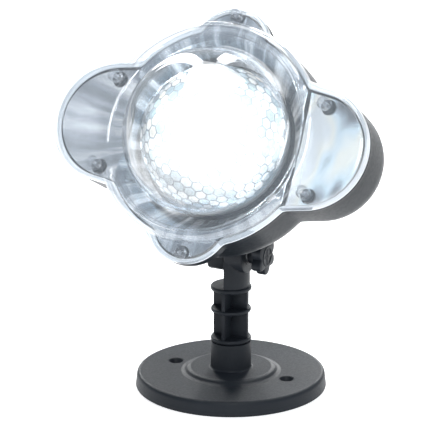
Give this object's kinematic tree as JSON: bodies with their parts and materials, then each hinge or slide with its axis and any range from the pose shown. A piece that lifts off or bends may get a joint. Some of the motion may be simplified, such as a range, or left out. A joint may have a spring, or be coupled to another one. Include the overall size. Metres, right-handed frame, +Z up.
{
  "type": "light projector stake",
  "caption": "Garden snow projector lamp: clear domed cover over a turning faceted crystal, winged black housing, tilting post and round screw-down base.",
  "frame": {"origin": "centre of the base's underside, on the surface it stands on", "axes": "+Z up, the lamp faces -Y, +X is the knob's side"},
  "size_m": [0.21, 0.1448, 0.2437],
  "materials": {
    "black_plastic": "satin moulded, finely grained",
    "gloss_black": "glossy moulded",
    "clear_cover": "clear moulded plastic",
    "clear_crystal": "clear moulded plastic, faceted",
    "metallised": "vacuum-metallised plastic",
    "seal": "translucent white silicone",
    "steel": "zinc-plated",
    "brass": "turned",
    "aluminium": "satin",
    "white_plastic": "moulded acetal",
    "circuit_board": "white solder resist",
    "led_phosphor": "lit phosphor",
    "dark_component": "moulded"
  },
  "bodies": {
    "base": {"base_disc": "black_plastic"},
    "post": {"post": "black_plastic", "clamp_washer": "steel"},
    "head": {"bearing_bush": "white_plastic", "cable_gland": "black_plastic", "cover_gasket": "seal", "cover_screw_1": "steel", "cover_screw_2": "steel", "cover_screw_3": "steel", "cover_screw_4": "steel", "cover_screw_5": "steel", "cover_screw_6": "steel", "driver_board": "circuit_board", "driver_capacitor": "dark_component", "driver_transformer": "dark_component", "front_cover": "clear_cover", "gear_motor": "steel", "gland_nut": "black_plastic", "heat_sink": "aluminium", "hinge_bolt": "steel", "led_board": "circuit_board", "led_emitter": "led_phosphor", "led_lens": "clear_crystal", "led_plate": "aluminium", "left_wing_mirror": "metallised", "lens_ring": "white_plastic", "motor_bracket": "steel", "motor_screw_1": "steel", "motor_screw_2": "steel", "rear_housing": "gloss_black", "reflector_bowl": "metallised", "right_wing_mirror": "metallised"},
    "knob": {"star_knob": "black_plastic", "knob_nut": "brass"},
    "crystal": {"crystal_dome": "clear_crystal", "dome_carrier": "white_plastic"},
    "pinion": {"drive_pinion": "white_plastic", "motor_shaft": "steel"}
  },
  "joints": [
    {"name": "post_swivel", "type": "hinge", "parent": "base", "child": "post", "pos_m": [0, 0, 0.02], "axis": [0, 0, 1], "range_deg": [-175, 175]},
    {"name": "head_tilt", "type": "hinge", "parent": "post", "child": "head", "pos_m": [0, 0, 0.0884], "axis": [-1, 0, 0], "range_deg": [-42, 50]},
    {"name": "knob_turn", "type": "hinge", "parent": "head", "child": "knob", "pos_m": [0.02, 0, 0.0884], "axis": [1, 0, 0], "range_deg": [0, 720]},
    {"name": "dome_spin", "type": "hinge", "parent": "head", "child": "crystal", "pos_m": [0, -0.01315, 0.16171], "axis": [0, -0.848, 0.5299], "continuous": true},
    {"name": "pinion_spin", "type": "hinge", "parent": "head", "child": "pinion", "pos_m": [0, 0.00932, 0.19012], "axis": [0, -0.848, 0.5299], "continuous": true}
  ],
  "couplings": [
    {"joint": "pinion_spin", "follows": "dome_spin", "ratio": -5}
  ]
}
